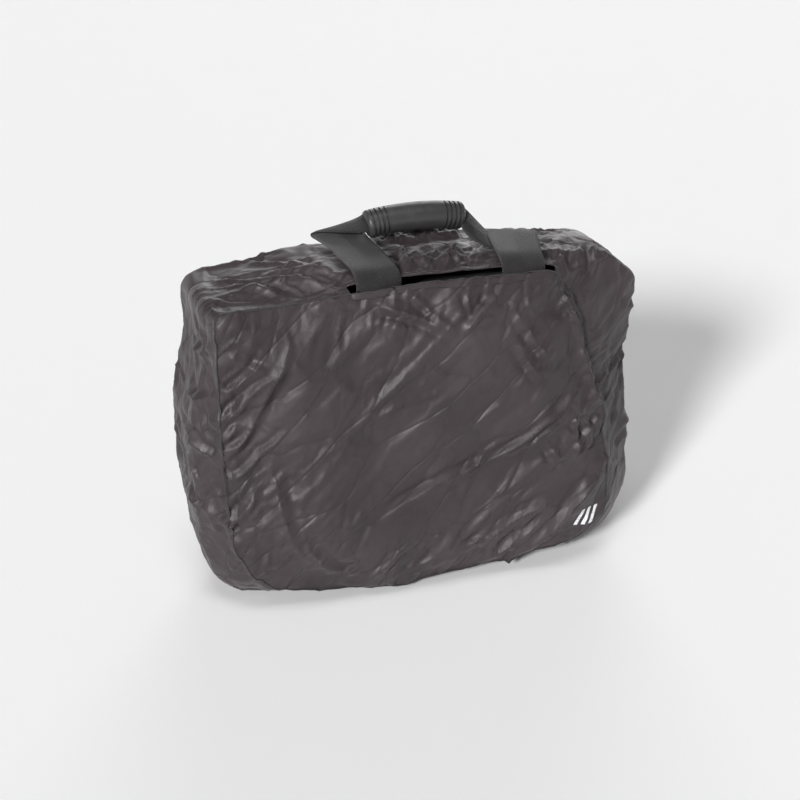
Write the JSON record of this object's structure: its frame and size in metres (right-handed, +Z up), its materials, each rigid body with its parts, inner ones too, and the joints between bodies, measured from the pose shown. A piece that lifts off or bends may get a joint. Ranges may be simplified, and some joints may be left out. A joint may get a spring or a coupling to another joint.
{
  "type": "tail bag",
  "caption": "Upright rear-seat motorcycle luggage bag in a loose elastic-hemmed rain cover, with a webbing carry handle through a slot and a strapped mounting side.",
  "frame": {"origin": "on the ground, in the middle of the bag's outline, at rest", "axes": "+X along the bag's width, to the right seen from the front; the front panel faces -Y; +Z up"},
  "size_m": [0.526, 0.1956, 0.4275],
  "materials": {
    "cover_nylon": "thin coated nylon, satin, creased",
    "tape": "woven binding tape",
    "elastic": "covered elastic",
    "print": "reflective print",
    "polyester": "heavy woven polyester over foam",
    "board": "stiffener board",
    "foot_rubber": "textured anti-slip",
    "webbing": "heavy nylon webbing",
    "grip_rubber": "moulded, satin",
    "core_plastic": "stiffener",
    "zip_nylon": "nylon coil",
    "slider_metal": "black enamel",
    "buckle_plastic": "acetal",
    "ring_steel": "black coated wire"
  },
  "bodies": {
    "bag": {"cover_front_panel": "cover_nylon", "cover_top_panel": "cover_nylon", "cover_bottom_panel": "cover_nylon", "cover_left_panel": "cover_nylon", "cover_right_panel": "cover_nylon", "cover_back_hem": "cover_nylon", "hem_elastic": "elastic", "seam_binding": "tape", "slot_facing": "tape", "reflective_mark": "print", "bag_front_wall": "polyester", "bag_back_wall": "polyester", "bag_floor": "polyester", "bag_left_wall": "polyester", "bag_right_wall": "polyester", "bag_roof_front": "polyester", "bag_roof_back": "polyester", "base_board": "board", "back_board": "board", "base_pad": "foot_rubber", "zip_tape_front": "tape", "zip_tape_back": "tape", "zip_coil": "zip_nylon", "handle_anchor_left": "webbing", "handle_anchor_right": "webbing", "sissy_bar_sleeve": "polyester", "strap_upper_left": "webbing", "strap_upper_right": "webbing", "strap_lower_left": "webbing", "strap_lower_right": "webbing", "buckle_socket_upper": "buckle_plastic", "buckle_socket_lower": "buckle_plastic", "ring_loop_upper_left": "webbing", "ring_loop_upper_right": "webbing", "ring_loop_lower_left": "webbing", "ring_loop_lower_right": "webbing"},
    "handle": {"handle_leg_left": "webbing", "handle_leg_right": "webbing", "handle_riser_left": "webbing", "handle_riser_right": "webbing", "grip": "grip_rubber", "grip_core": "core_plastic"},
    "slider_left": {"zip_slider_left": "slider_metal", "pull_tab_left": "slider_metal"},
    "slider_right": {"zip_slider_right": "slider_metal", "pull_tab_right": "slider_metal"},
    "plug_upper": {"buckle_plug_upper": "buckle_plastic"},
    "plug_lower": {"buckle_plug_lower": "buckle_plastic"},
    "ring_upper_left": {"d_ring_upper_left": "ring_steel"},
    "ring_upper_right": {"d_ring_upper_right": "ring_steel"},
    "ring_lower_left": {"d_ring_lower_left": "ring_steel"},
    "ring_lower_right": {"d_ring_lower_right": "ring_steel"}
  },
  "joints": [
    {"name": "handle_swing", "type": "hinge", "parent": "bag", "child": "handle", "pos_m": [0, -0.0806, 0.369], "axis": [1, 0, 0], "range_deg": [0, 90]},
    {"name": "slider_left_slide", "type": "slide", "parent": "bag", "child": "slider_left", "axis": [-1, 0, 0], "range_m": [0, 0.17]},
    {"name": "slider_right_slide", "type": "slide", "parent": "bag", "child": "slider_right", "axis": [1, 0, 0], "range_m": [0, 0.17]},
    {"name": "plug_upper_slide", "type": "slide", "parent": "bag", "child": "plug_upper", "axis": [1, 0, 0], "range_m": [0, 0.036]},
    {"name": "plug_lower_slide", "type": "slide", "parent": "bag", "child": "plug_lower", "axis": [1, 0, 0], "range_m": [0, 0.036]},
    {"name": "ring_upper_left_hinge", "type": "hinge", "parent": "bag", "child": "ring_upper_left", "pos_m": [-0.163, 0.07365, 0.282], "axis": [1, 0, 0], "range_deg": [0, 120]},
    {"name": "ring_upper_right_hinge", "type": "hinge", "parent": "bag", "child": "ring_upper_right", "pos_m": [0.163, 0.07365, 0.282], "axis": [1, 0, 0], "range_deg": [0, 120]},
    {"name": "ring_lower_left_hinge", "type": "hinge", "parent": "bag", "child": "ring_lower_left", "pos_m": [-0.163, 0.07365, 0.112], "axis": [1, 0, 0], "range_deg": [0, 120]},
    {"name": "ring_lower_right_hinge", "type": "hinge", "parent": "bag", "child": "ring_lower_right", "pos_m": [0.163, 0.07365, 0.112], "axis": [1, 0, 0], "range_deg": [0, 120]}
  ]
}
